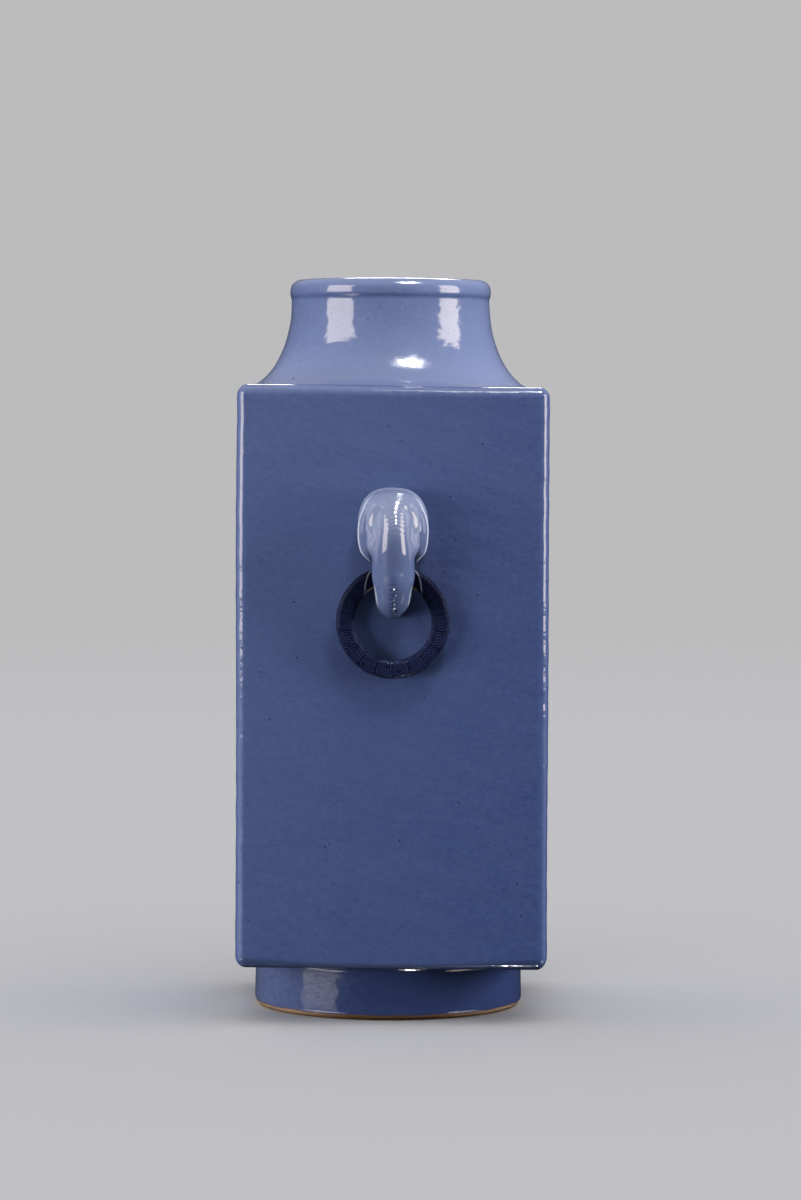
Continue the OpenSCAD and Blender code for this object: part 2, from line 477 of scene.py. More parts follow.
class Effect(Enum):
    """Effects that several finishes share, each a shader node group that is built once."""

    POOLED = "glaze_pooled"
    SPECKED = "kiln_specks"
    PEEL = "orange_peel"

    def group(self) -> bpy.types.NodeTree:
        """The effect's node group, made at its first use."""
        made = bpy.data.node_groups.get(self.value)
        if made is None:
            builders = {Effect.POOLED: pooled_group, Effect.SPECKED: specked_group, Effect.PEEL: peel_group}
            made = builders[self](self.value)
        return made


def pooled_group(name: str) -> bpy.types.NodeTree:
    """Colour of a glaze that lies thicker in places: level streaks, slow clouds and thin edges.

    Args:
        name: Name of the group.

    Returns:
        The group, with the colours of thick and thin glaze, the mask of thin edges, which on some pieces
        also carries painted light and shade, and the strengths of streaks and clouds as inputs, and the
        colour as output.
    """
    inputs = {"Thick": (0.1, 0.15, 0.4), "Thin": (0.4, 0.5, 0.7), "Edge": 0.0, "Streak": 0.3, "Cloud": 0.3}
    bench, given, out = new_group(name, inputs, {"Color": "NodeSocketColor"})
    thin = bench.math("ADD", given["Edge"], MEAN_THIN)
    for key, grain in {"Streak": STREAKS, "Cloud": CLOUDS}.items():
        uneven = bench.math("SUBTRACT", bench.noise(grain), 0.5)
        thin = bench.math("MULTIPLY_ADD", uneven, given[key], thin)
    bench.fill(out, Color=bench.blend(thin, given["Thick"], given["Thin"]))
    return bench.tree


def specked_group(name: str) -> bpy.types.NodeTree:
    """Dark iron specks, softer dust, pale pinholes and a few stains.

    Args:
        name: Name of the group.

    Returns:
        The group, with a colour and the share of each kind of dots that shows as inputs, and the specked
        colour and the mask of the pinholes as outputs.
    """
    inputs = {"Color": (0.1, 0.15, 0.4)} | {key: dots.share for key, dots in DOTS.items()}
    bench, given, out = new_group(name, inputs, {"Color": "NodeSocketColor", "Pits": "NodeSocketFloat"})
    masks = {key: dots.mask(bench, given[key]) for key, dots in DOTS.items()}
    colour = given["Color"]
    for key, dots in DOTS.items():
        colour = bench.blend(bench.times(masks[key], dots.strength), colour, dots.colour)
    bench.fill(out, Color=colour, Pits=masks["Pinholes"])
    return bench.tree


def peel_group(name: str) -> bpy.types.NodeTree:
    """Height of a fired glaze's surface: the dimples of orange peel over slower level swells.

    Args:
        name: Name of the group.

    Returns:
        The group, with the strengths of both as inputs and the height as output.
    """
    bench, given, out = new_group(name, {"Dimples": 0.4, "Swells": 1.0}, {"Height": "NodeSocketFloat"})
    fine = bench.times(bench.noise(DIMPLES), given["Dimples"])
    bench.fill(out, Height=bench.math("MULTIPLY_ADD", bench.noise(SWELLS), given["Swells"], fine))
    return bench.tree


@dataclass(frozen=True, kw_only=True)
class Finish:
    """Finish of a surface, made into a material at its first use."""

    slot: str
    roughness: float
    bump: float
    index: float = 1.6
    gloss: float = 0.5
    tint: Colour = (1.0, 1.0, 1.0)

    def material(self) -> bpy.types.Material:
        """The finish's material."""
        name = type(self).__name__ + "_" + self.slot
        made = bpy.data.materials.get(name)
        if made is None:
            made = bpy.data.materials.new(name)
            bench = NodeBench.cleared(made)
            shader = bench.add("BsdfPrincipled", Roughness=self.roughness, IOR=self.index,
                               Specular_IOR_Level=self.gloss, Specular_Tint=self.tint)
            bench.add("OutputMaterial", Surface=shader.outputs["BSDF"])
            self.dress(bench, shader)
        return made

    def dress(self, bench: NodeBench, shader: bpy.types.Node) -> None:
        """Feeds the shader with what changes over the surface."""
        raise NotImplementedError

    def raised(self, bench: NodeBench, height: Socket) -> Socket:
        """Normal of the surface, bumped by a height in tenths of a millimetre at full strength."""
        bump = bench.add("Bump", Strength=self.bump, Distance=BUMP_HEIGHT, Height=height)
        return bump.outputs["Normal"]


@dataclass(frozen=True, kw_only=True)
class BlueGlaze(Finish):
    """Sky-blue glaze: deep where it pools, pale and almost bare where it runs thin over edges, and paler or
    darker where its thin mark carries painted light and shade.
    """

    thick: Colour
    thin: Colour
    streak: float
    cloud: float
    specks: float
    pinholes: float
    dimples: float
    swells: float

    def surface(self, bench: NodeBench) -> tuple[Socket, Socket]:
        """Adds the glaze's nodes.

        Args:
            bench: Bench of the material's tree.

        Returns:
            The colour and the height of the surface.
        """
        # The thin mark is thin glaze on edges, and on some pieces also painted light and painted shade.
        pooled = bench.shared(Effect.POOLED, Thick=self.thick, Thin=self.thin, Edge=bench.mark("thin"),
                              Streak=self.streak, Cloud=self.cloud)
        specked = bench.shared(Effect.SPECKED, Color=pooled["Color"], Specks=self.specks,
                               Pinholes=self.pinholes)
        peel = bench.shared(Effect.PEEL, Dimples=self.dimples, Swells=self.swells)
        return specked["Color"], bench.math("SUBTRACT", peel["Height"], specked["Pits"])

    def dress(self, bench: NodeBench, shader: bpy.types.Node) -> None:
        """Feeds the shader with the glaze's colour and surface."""
        colour, height = self.surface(bench)
        bench.fill(shader.inputs, Base_Color=colour, Normal=self.raised(bench, height))


@dataclass(frozen=True, kw_only=True)
class FootGlaze(BlueGlaze):
    """The same glaze, wiped off the foot's rim so that the matt clay shows, browner in the middle: partly
    scorch, partly painted shade.
    """

    clay: Colour
    scorch: Colour
    clay_top: float
    line_waver: float = 1.2
    line_soft: float = 0.15
    burn: float = 0.75
    burn_band: Span = (0.6, -0.1)
    browning: Span = (40.0, 14.0)
    clay_roughness: float = 0.6

    def below(self, bench: NodeBench, height: Socket, top: float, bottom: float) -> Socket:
        """Mask that comes in from one distance above the wiped line to another."""
        return bench.ramp(height, (self.clay_top + top) * MM, (self.clay_top + bottom) * MM)

    def dress(self, bench: NodeBench, shader: bpy.types.Node) -> None:
        """Feeds the shader with glaze above the wiped line, and with bare clay below it."""
        colour, height = self.surface(bench)
        axes = bench.add("SeparateXYZ", Vector=bench.here()).outputs
        waver = bench.math("SUBTRACT", bench.noise(WAVER), 0.5)
        line = bench.math("MULTIPLY_ADD", waver, self.line_waver * MM, axes["Z"])
        bare = self.below(bench, line, self.line_soft, -self.line_soft)
        burnt = bench.times(self.below(bench, line, *self.burn_band), self.burn)
        # Browner clay in the middle of the front and back: partly scorch, partly painted shade.
        wide, narrow = self.browning
        middle = bench.ramp(bench.math("ABSOLUTE", axes["X"]), wide * MM, narrow * MM)
        grain = bench.noise(CLAY_GRAIN)
        body = bench.blend(grain, self.scorch, bench.blend(middle, self.clay, self.scorch))
        raised = bench.math("MULTIPLY_ADD", grain, bare, height)
        bench.fill(shader.inputs,
                   Base_Color=bench.blend(bare, bench.blend(burnt, colour, self.scorch), body),
                   Roughness=bench.math("MULTIPLY_ADD", bare, self.clay_roughness, self.roughness),
                   Specular_IOR_Level=bench.math("MULTIPLY_ADD", bare, -self.gloss, self.gloss),
                   Normal=self.raised(bench, raised))


@dataclass(frozen=True, kw_only=True)
class CobaltGlaze(Finish):
    """Dark cobalt over a carved ring: almost black in the hollows, and bluer where it thins on lines."""

    hollow: Colour
    line: Colour
    worn: Colour
    clay: Colour
    patches: Span = (0.1, 0.6)
    uneven: float = 0.2

    def dress(self, bench: NodeBench, shader: bpy.types.Node) -> None:
        """Feeds the shader with the colour of the carving, a painted highlight along the collars' crests,
        and a fine uneven surface.
        """
        mottle = bench.noise(MOTTLE)
        relief = bench.times(bench.mark("relief"), bench.ramp(mottle, *self.patches))
        carved = bench.blend(relief, self.hollow, self.line)
        # Painted highlight: a pale line along the crests of the collars.
        highlighted = bench.blend(bench.mark("worn"), carved, self.worn)
        bench.fill(shader.inputs,
                   Base_Color=bench.blend(bench.mark("bare"), highlighted, self.clay),
                   Roughness=bench.math("MULTIPLY_ADD", mottle, self.uneven, self.roughness),
                   Normal=self.raised(bench, mottle))


BODY_GLAZE = BlueGlaze(slot="sky_blue_glaze", roughness=0.1, bump=0.3, thick=(0.036, 0.058, 0.158),
                       thin=(0.111, 0.14, 0.258), streak=0.62, cloud=0.2, specks=0.8, pinholes=0.12,
                       dimples=0.3, swells=5.5)
INSIDE_GLAZE = BlueGlaze(slot="inside_glaze", roughness=0.14, bump=0.25, thick=(0.12, 0.16, 0.32),
                         thin=(0.3, 0.34, 0.46), streak=0.3, cloud=0.3, specks=0.3, pinholes=0.12,
                         dimples=0.3, swells=1.0)
HANDLE_GLAZE = BlueGlaze(slot="handle_glaze", roughness=0.08, bump=0.1, thick=(0.05, 0.074, 0.17),
                         thin=(0.6, 0.63, 0.72), streak=0.055, cloud=0.07, specks=0.1, pinholes=0.1,
                         dimples=0.3, swells=0.6)
# The foot's glaze is darker than the body's: painted shade under the body's overhang.
SHADED_FOOT_GLAZE = FootGlaze(slot="foot_glaze", roughness=0.1, bump=0.3, thick=(0.024, 0.038, 0.107),
                       thin=(0.112, 0.138, 0.235), streak=0.62, cloud=0.2, specks=0.8, pinholes=0.12,
                       dimples=0.3, swells=8.0, clay=(0.36, 0.25, 0.16), scorch=(0.11, 0.055, 0.028),
                       clay_top=1.9)
# The pale colour on the collars' crests is a painted highlight.
RING_GLAZE = CobaltGlaze(slot="cobalt_glaze", roughness=0.2, bump=0.3, index=1.5, gloss=0.08,
                         tint=(0.55, 0.65, 1.0), hollow=(0.0015, 0.002, 0.008), line=(0.026, 0.034, 0.1),
                         worn=(0.2, 0.21, 0.28), clay=(0.55, 0.36, 0.19))


@dataclass(frozen=True)
class Handwork:
    """Unevenness of hand-built clay: a smooth shift of every point, so that pieces that meet still meet.

    The shift is a sum of plane sine waves. A few slow ones bow the sides, and more quick ones, mostly
    level, are what the maker's scraper leaves. The whole is drawn in a little, so that no wave leaves the
    vase's box, and it leans to one side. The shift is nothing at the still points. Its rise and fall also
    fade out at the foot's rim and at the top of the lip.
    """

    half: float
    top_z: float
    still_points: tuple[tuple[float, float, float], ...]
    bow: float = 0.24
    bow_lengths: tuple[float, float] = (70.0, 160.0)
    bow_count: int = 7
    ripple: float = 0.075
    ripple_lengths: tuple[float, float] = (9.0, 21.0)
    ripple_count: int = 14
    ripple_tilt: float = 0.2
    ripple_spread: float = 0.1
    slant: float = 0.0072
    inset: float = 0.46
    still_radius: float = 24.0
    settle_h: float = 16.0
    lip_h: float = 34.0
    seed: int = 20

    def shift(self, points: Array) -> Array:
        """Sum of the waves, the drawing in and the lean at each point."""
        rng = np.random.default_rng(self.seed)
        slow = rng.normal(size=(self.bow_count, 3))
        spread = (self.ripple_tilt, self.ripple_tilt, self.ripple_spread)
        quick = rng.normal(size=(self.ripple_count, 3)) * spread + (0.0, 0.0, 1.0)
        ways = np.vstack([slow, quick])
        lengths = np.concatenate([rng.uniform(*self.bow_lengths, self.bow_count),
                                  rng.uniform(*self.ripple_lengths, self.ripple_count)])
        ways *= (2.0 * np.pi / lengths / np.linalg.norm(ways, axis=1))[:, None]
        phases = rng.uniform(0.0, 2.0 * np.pi, len(ways))
        kinds = ((self.bow_count, self.bow), (self.ripple_count, self.ripple))
        reaches = [rng.uniform(-1.0, 1.0, (count, 3)) * size / math.sqrt(count) for count, size in kinds]
        moved = np.sin(points @ ways.T + phases) @ np.vstack(reaches)
        moved[..., :2] -= self.inset * points[..., :2] / self.half
        moved[..., 2] -= self.slant * points[..., 0]
        return moved

    def shaped(self, points: Array) -> Array:
        """Points moved as the maker's hands left them."""
        moved, z = self.shift(points), points[..., 2]
        for still in np.array(self.still_points):
            near = bell(np.linalg.norm(points - still, axis=-1), self.still_radius)
            moved -= near[..., None] * self.shift(still[None, :])[0]
        moved[..., 2] *= eased(z / self.settle_h) * eased((self.top_z - z) / self.lip_h)
        return points + moved


@dataclass
class Body:
    """Square body of six slabs whose glazed outside shows no seam."""

    half: float
    slab: float
    low_z: float
    top_z: float
    work: Handwork
    throat_r: float = THROAT_R
    edge_r: float = 4.2
    low_edge: float = 2.7
    low_corner: float = 2.4
    corner_reach: float = 20.0
    step: float = 1.0
    stub_steps: int = 3
    arc_steps: int = 10
    inner_steps: int = 24
    shoulder_rows: tuple[int, int] = (18, 10)
    floor_rows: tuple[int, int] = (26, 14)
    pale_gaps: Span = (2.5, 0.9)
    pale: float = 0.5
    # Painted light: the body is paler towards the left and paler high up, where more light falls.
    poured: float = 0.1
    settled: float = 0.09

    @classmethod
    def from_frame(cls, work: Handwork) -> "Body":
        """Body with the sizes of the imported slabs."""
        side_low, side_high = node_box("right_wall")
        floor_low, _ = node_box("floor_slab")
        _, shoulder_high = node_box("shoulder_slab")
        return cls(half=side_high[0], slab=side_high[0] - side_low[0], low_z=floor_low[2],
                   top_z=shoulder_high[2], work=work)

    def rim(self) -> tuple[Array, Array]:
        """Line round the body on which the centres of the rounded edges lie.

        Returns:
            The line's points, starting at the left of the front, and the outward direction at each of them.
        """
        corner, inside = self.half - self.edge_r, self.half - self.slab
        stub = np.linspace(inside, corner, self.stub_steps + 1)
        flat = np.linspace(-inside, inside, int(round(2.0 * inside / self.step)) + 1)
        along = np.concatenate([-stub[:0:-1], flat, stub[1:]])
        turn = np.radians(np.linspace(-90.0, 0.0, self.arc_steps + 1)[1:-1])
        base = np.vstack([np.stack([along, np.full_like(along, -corner)], axis=1),
                          np.tile([corner, -corner], (len(turn), 1))])
        out = np.vstack([np.tile([0.0, -1.0], (len(along), 1)),
                         np.stack([np.cos(turn), np.sin(turn)], axis=1)])
        return np.vstack([turned(base, q) for q in QUARTERS]), np.vstack([turned(out, q) for q in QUARTERS])

    def thin(self, points: Array) -> Array:
        """How thin and pale the glaze is: thinnest on the rounded edges, and paler high up and towards the
        left as painted light.
        """
        gaps = np.stack([self.half - np.abs(points[..., 0]), self.half - np.abs(points[..., 1]),
                         np.minimum(points[..., 2] - self.low_z, self.top_z - points[..., 2])], axis=-1)
        second = np.sort(gaps, axis=-1)[..., 1]
        edge = self.pale * rising(second, *self.pale_gaps)
        middle, reach = (self.top_z + self.low_z) / 2.0, (self.top_z - self.low_z) / 2.0
        # Painted light: the glaze is paler high up and towards the left.
        painted_light = self.settled * (points[..., 2] - middle) / reach - self.poured * points[..., 0] / self.half
        return edge + painted_light

    def mesh(self, name: str, rings: Array, ends: Ends) -> bpy.types.Mesh:
        """Mesh of one slab, shaped by hand."""
        return tube_mesh(name, self.work.shaped(rings), ends, {"thin": self.thin(rings)})

    def upright(self, loop: Array) -> Array:
        """Rings of one wall: its outline in plan, carried up from the floor slab to the shoulder slab."""
        low, high = self.low_z + self.slab, self.top_z - self.slab
        heights = np.linspace(low, high, int(round((high - low) / self.step)) + 1)
        rings = np.empty((len(heights), len(loop), 3))
        rings[..., :2] = loop
        rings[..., 2] = heights[:, None]
        return rings

    def lapping_wall(self) -> Array:
        """Rings of the front wall, which carries the rounded upright edges on both sides."""
        base, out = self.rim()
        before = self.stub_steps + self.arc_steps
        side = len(base) // 4
        outer = np.roll(base + self.edge_r * out, before, axis=0)[:before + side + self.stub_steps + 1]
        back = np.linspace(self.half, -self.half, self.inner_steps + 1)[1:-1]
        inner = np.stack([back, np.full_like(back, self.slab - self.half)], axis=1)
        return self.upright(np.vstack([outer, inner]))

    def side_wall(self) -> Array:
        """Rings of the right wall, which is held between the front and the back wall."""
        inside = self.half - self.slab
        along = np.linspace(-inside, inside, int(round(2.0 * inside / self.step)) + 1)
        back = np.linspace(inside, -inside, self.inner_steps + 1)
        outer = np.stack([np.full_like(along, self.half), along], axis=1)
        inner = np.stack([np.full_like(back, inside), back], axis=1)
        return self.upright(np.vstack([outer, inner]))

    def low_edge_heights(self) -> Array:
        """How tall the rounded lower edge is round the body, which is more towards the corners."""
        base, _ = self.rim()
        gap = 2.0 * (self.half - self.edge_r) - np.abs(base).sum(axis=1)
        return self.low_edge + self.low_corner * bell(gap, self.corner_reach)

    def edge_rows(self, tall: Array) -> list[tuple[Array, Array]]:
        """Rows of plan points over a slab's rounded edge, this tall, and along its side, with depths."""
        base, out = self.rim()
        turn = np.radians(np.linspace(90.0, 0.0, self.arc_steps + 1))[1:]
        rows = [(base + self.edge_r * math.cos(t) * out, tall * (1.0 - math.sin(t))) for t in turn]
        depths = np.linspace(tall, self.slab, self.stub_steps + 1)[1:]
        return rows + [(base + self.edge_r * out, depth) for depth in depths]

    def plate(self, rows: list[tuple[Array, Array]], mirrored: bool) -> Array:
        """Rings of a slab from rows of plan points and their depths below the slab's outer face."""
        rings = np.empty((len(rows), len(rows[0][0]), 3))
        for ring, (plan, depth) in zip(rings, rows):
            ring[:, :2] = plan
            ring[:, 2] = self.low_z + depth if mirrored else self.top_z - depth
        return rings

    def shoulder(self) -> Array:
        """Rings of the shoulder slab, from its round throat over the top and back below."""
        base, out = self.rim()
        rim = base + self.edge_r * out
        throat = self.throat_r * rim / np.linalg.norm(rim, axis=1)[:, None]
        above, under = self.shoulder_rows
        top = [(mix(throat, base, s), 0.0) for s in np.linspace(0.0, 1.0, above)]
        below = [(mix(rim, throat, s), self.slab) for s in np.linspace(0.0, 1.0, under)[1:]]
        return self.plate(top + self.edge_rows(self.edge_r) + below, mirrored=False)

    def floor(self) -> Array:
        """Rings of the floor slab, from the middle of its underside round the edge to the middle inside."""
        base, out = self.rim()
        rim = base + self.edge_r * out
        under, above = self.floor_rows
        below = [(base * s, 0.0) for s in np.linspace(0.0, 1.0, under)]
        top = [(rim * s, self.slab) for s in np.linspace(1.0, 0.0, above)[1:]]
        return self.plate(below + self.edge_rows(self.low_edge_heights()) + top, mirrored=True)

    def build(self) -> None:
        """Builds and dresses the six slabs."""
        front, right = self.lapping_wall(), self.side_wall()
        slabs = {"front_wall": (front, Ends.FLAT), "back_wall": (turned(front, 180.0), Ends.FLAT),
                 "right_wall": (right, Ends.FLAT), "left_wall": (turned(right, 180.0), Ends.FLAT),
                 "shoulder_slab": (self.shoulder(), Ends.JOINED), "floor_slab": (self.floor(), Ends.POLES)}
        for node, (rings, ends) in slabs.items():
            place(self.mesh("glazed_" + node, rings, ends), BODY_GLAZE, FIXED_BODY, node)


def revolved(profile: Array, steps: int) -> Array:
    """Rings of a thrown piece: its closed section of radius and height, turned about the upright axis."""
    angles = circle(steps)
    rings = np.empty((steps, len(profile), 3))
    rings[..., 0] = np.cos(angles)[:, None] * profile[:, 0]
    rings[..., 1] = np.sin(angles)[:, None] * profile[:, 0]
    rings[..., 2] = profile[:, 1]
    return rings


@dataclass
class Neck:
    """Thrown neck that flares down on to the shoulder, with a rolled lip."""

    seat_r: float
    seat_z: float
    top_z: float
    work: Handwork
    neck_r: float = 39.7
    wall: float = 6.2
    throat_r: float = THROAT_R
    lip_r: float = 4.2
    lip_out: float = 0.65
    lip_h: float = 7.9
    lip_ease: float = 2.2
    flare_share: float = 0.97
    # The neck's glaze is paler than the body's: partly thinner glaze, partly painted light that the
    # upturned neck catches.
    thin: float = 0.65
    # Painted light: the neck is paler towards the right.
    poured: float = 0.13
    # Painted light: the neck is paler towards its flared base, which faces up into the light.
    pale: float = 0.24
    pale_h: float = 18.0
    crest: float = 0.2
    crest_gaps: Span = (-2.6, -0.2)
    # Darker band in the groove under the lip: partly pooled glaze, partly painted shade.
    pool: float = 0.5
    pool_h: float = 0.9
    sunk: float = 0.5
    step: float = 0.6
    melt: float = 0.45
    flare_steps: int = 40
    ease_steps: int = 12
    bead_steps: int = 48
    turns: int = 420

    @classmethod
    def from_frame(cls, work: Handwork) -> "Neck":
        """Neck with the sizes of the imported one."""
        low, high = node_box("neck")
        return cls(seat_r=high[0], seat_z=low[2], top_z=high[2], work=work)

    def flare(self, foot_r: float, top_r: float) -> Array:
        """One side of the neck, rising from the shoulder: a quarter ellipse that ends upright."""
        end_z = self.top_z - self.lip_h
        down = np.linspace(1.0, 0.0, self.flare_steps)
        rise = 1.0 - np.sqrt(1.0 - (self.flare_share * down) ** 2)
        full = 1.0 - math.sqrt(1.0 - self.flare_share ** 2)
        return np.stack([mix(top_r, foot_r, rise / full), mix(end_z, self.seat_z, down)], axis=1)

    def section(self) -> Array:
        """Closed section: up the outside, round the lip, down the inside and back below the shoulder's top.

        The lip is a round bead that runs on upright below its middle, and then eases in to the neck.
        """
        outer = self.flare(self.seat_r, self.neck_r)
        inner = self.flare(self.throat_r, self.neck_r - self.wall)[::-1]
        bead_r, bead_z = self.neck_r + self.lip_out - self.lip_r, self.top_z - self.lip_r
        sweep = np.linspace(0.0, 1.0, self.ease_steps)
        under_z = mix(self.top_z - self.lip_h, self.top_z - self.lip_h + self.lip_ease, sweep)
        under = np.stack([self.neck_r + self.lip_out * eased(sweep), under_z], axis=1)
        stop = 2.0 * math.pi - math.acos((self.neck_r - self.wall - bead_r) / self.lip_r)
        around = np.linspace(0.0, stop, self.bead_steps)
        bead = np.stack([bead_r + self.lip_r * np.cos(around),
                         bead_z + self.lip_r * np.sin(around)], axis=1)
        below = self.seat_z - self.sunk
        seat = [[self.throat_r, below], [self.seat_r + self.sunk, below]]
        return np.vstack([outer, under[1:], bead, inner, seat])

    def build(self) -> None:
        """Builds and dresses the neck."""
        profile = softened(self.section(), self.step, self.melt)
        profile[:, 1] = np.minimum(profile[:, 1], self.top_z)
        rings = revolved(profile, self.turns)
        x, y, z = np.moveaxis(rings, -1, 0)
        crest = self.crest * rising(z - self.top_z, *self.crest_gaps)
        # Painted light: paler towards the flare's base.
        base = self.pale * rising(z - self.seat_z, self.pale_h, 0.0)
        outside = np.hypot(x, y) > self.neck_r - self.wall / 2.0
        # Darker band under the lip: partly pooled glaze, partly painted shade.
        pool = self.pool * hump(z - self.top_z, self.pool_h - self.lip_h, self.pool_h) * outside
        # The side term is painted light: paler towards the right.
        thin = self.thin + base + crest - pool + self.poured * x / self.neck_r
        mesh = tube_mesh("glazed_neck", self.work.shaped(rings), Ends.JOINED, {"thin": thin})
        place(mesh, BODY_GLAZE, FIXED_BODY, "neck")


@dataclass
class Foot:
    """Thrown foot ring with a bare rim that the vase stands on."""

    outer_r: float
    top_z: float
    work: Handwork
    wall: float = 8.0
    rounding: float = 3.2
    bevel: float = 1.5
    flare: float = 1.4
    flare_h: float = 3.08
    sunk: float = 0.4
    step: float = 0.5
    melt: float = 0.5
    # Painted shade: the foot's glaze is darker, as under the body's overhang, and darker still towards the
    # right.
    thin: float = -0.32
    poured: float = 0.54
    heel_steps: int = 12
    flare_steps: int = 8
    turns: int = 400

    @classmethod
    def from_frame(cls, work: Handwork) -> "Foot":
        """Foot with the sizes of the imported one."""
        _, high = node_box("foot_ring")
        return cls(outer_r=high[0], top_z=high[2], work=work)

    def section(self) -> Array:
        """Closed section: down the outside, along the rim and up the inside, with a fillet at each top."""
        bore_r = self.outer_r - self.wall
        turn = np.radians(np.linspace(0.0, -90.0, self.heel_steps))
        heel = np.stack([self.outer_r - self.rounding * (1.0 - np.cos(turn)),
                         self.rounding * (1.0 + np.sin(turn))], axis=1)
        top = self.top_z + self.sunk
        down = np.linspace(0.0, 1.0, self.flare_steps)
        up = 1.0 - down
        out_fillet = np.stack([self.outer_r + self.flare * up ** 2, top - self.flare_h * down], axis=1)
        in_fillet = np.stack([bore_r - self.flare * down ** 2, top - self.flare_h * up], axis=1)
        rim = np.array([[bore_r + self.bevel, 0.0], [bore_r, self.bevel]])
        return np.vstack([out_fillet, heel, rim, in_fillet])

    def build(self) -> None:
        """Builds and dresses the foot."""
        profile = softened(self.section(), self.step, self.melt)
        profile[:, 1] = np.maximum(profile[:, 1], 0.0)
        rings = revolved(profile, self.turns)
        # Painted shade: darker all over, and more so towards the right.
        thin = self.thin - self.poured * rings[..., 0] / self.outer_r
        mesh = tube_mesh("glazed_foot", self.work.shaped(rings), Ends.JOINED, {"thin": thin})
        place(mesh, SHADED_FOOT_GLAZE, FIXED_BODY, "foot_ring")


@dataclass
class Mount:
    """Place of a handle on the vase.

    A handle is worked out at the front, from the point of the wall behind its ring's pivot, with x to the
    right, y into the wall and z up.
    """

    side: Side
    wall_y: float
    pivot_out: float
    pivot_z: float
    work: Handwork

    @classmethod
    def from_frame(cls, side: Side, work: Handwork) -> "Mount":
        """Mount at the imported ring's joint."""
        word = side.name.lower()
        joint = next(j for j in frame["joints"] if j["child"] == word + "_ring")
        _, pivot_y, pivot_z = (value / MM for value in joint["pos_m"])
        low, high = node_box(word + "_wall")
        wall_y = high[1] if side is Side.BACK else low[1]
        return cls(side=side, wall_y=abs(wall_y), pivot_out=abs(pivot_y - wall_y), pivot_z=pivot_z,
                   work=work)

    @property
    def word(self) -> str:
        """Word for the mount's face of the vase in the names of pieces."""
        return self.side.name.lower()

    def on_vase(self, points: Array) -> Array:
        """Moves points from the handle's own place to its face of the vase."""
        return turned(points + np.array([0.0, -self.wall_y, self.pivot_z]), self.side.value)

    def place_glazed(self, node: str, rings: Array, ends: Ends, thin: Array) -> None:
        """Builds and dresses a fixed piece of the handle from its rings and how thin its glaze is, painted
        light and shade included.
        """
        shaped = self.work.shaped(self.on_vase(rings))
        place(tube_mesh("glazed_" + node, shaped, ends, {"thin": thin}), HANDLE_GLAZE, FIXED_BODY, node)


